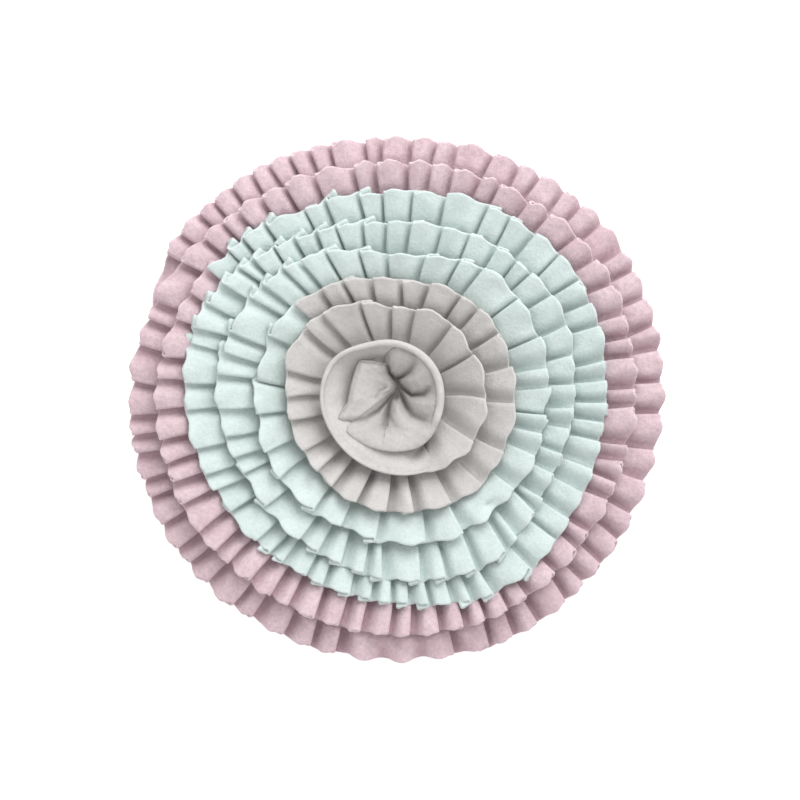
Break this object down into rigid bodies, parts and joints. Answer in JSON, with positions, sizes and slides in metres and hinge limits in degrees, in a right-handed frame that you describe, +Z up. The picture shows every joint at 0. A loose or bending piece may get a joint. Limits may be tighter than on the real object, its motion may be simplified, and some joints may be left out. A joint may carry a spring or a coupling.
{
  "type": "snuffle mat",
  "caption": "Round snuffle mat of knife-pleated fleece strips sewn in an inward spiral on a round cloth, with a rolled, gathered middle.",
  "frame": {"origin": "middle of the backing cloth's flat underside, on the surface that the mat lies on", "axes": "+Z up, away from the surface; +Y towards the side of the mat that is at the top of the picture; +X to its right"},
  "size_m": [0.4552, 0.4456, 0.0429],
  "materials": {
    "backing_cloth": "plain felted polyester, matt",
    "pink_fleece": "brushed polar fleece, matt, soft nap",
    "mint_fleece": "brushed polar fleece, matt, soft nap",
    "grey_fleece": "brushed polar fleece, matt, soft nap"
  },
  "bodies": {
    "root": {"backing": "backing_cloth", "pink_strip_1": "pink_fleece", "pink_strip_2": "pink_fleece", "pink_strip_3": "pink_fleece", "pink_strip_4": "pink_fleece", "mint_strip_1": "mint_fleece", "mint_strip_2": "mint_fleece", "mint_strip_3": "mint_fleece", "mint_strip_4": "mint_fleece", "mint_strip_5": "mint_fleece", "mint_strip_6": "mint_fleece", "mint_strip_7": "mint_fleece", "grey_strip_1": "grey_fleece", "grey_strip_2": "grey_fleece", "grey_strip_3": "grey_fleece", "grey_roll": "grey_fleece", "grey_heart": "grey_fleece"}
  },
  "joints": []
}
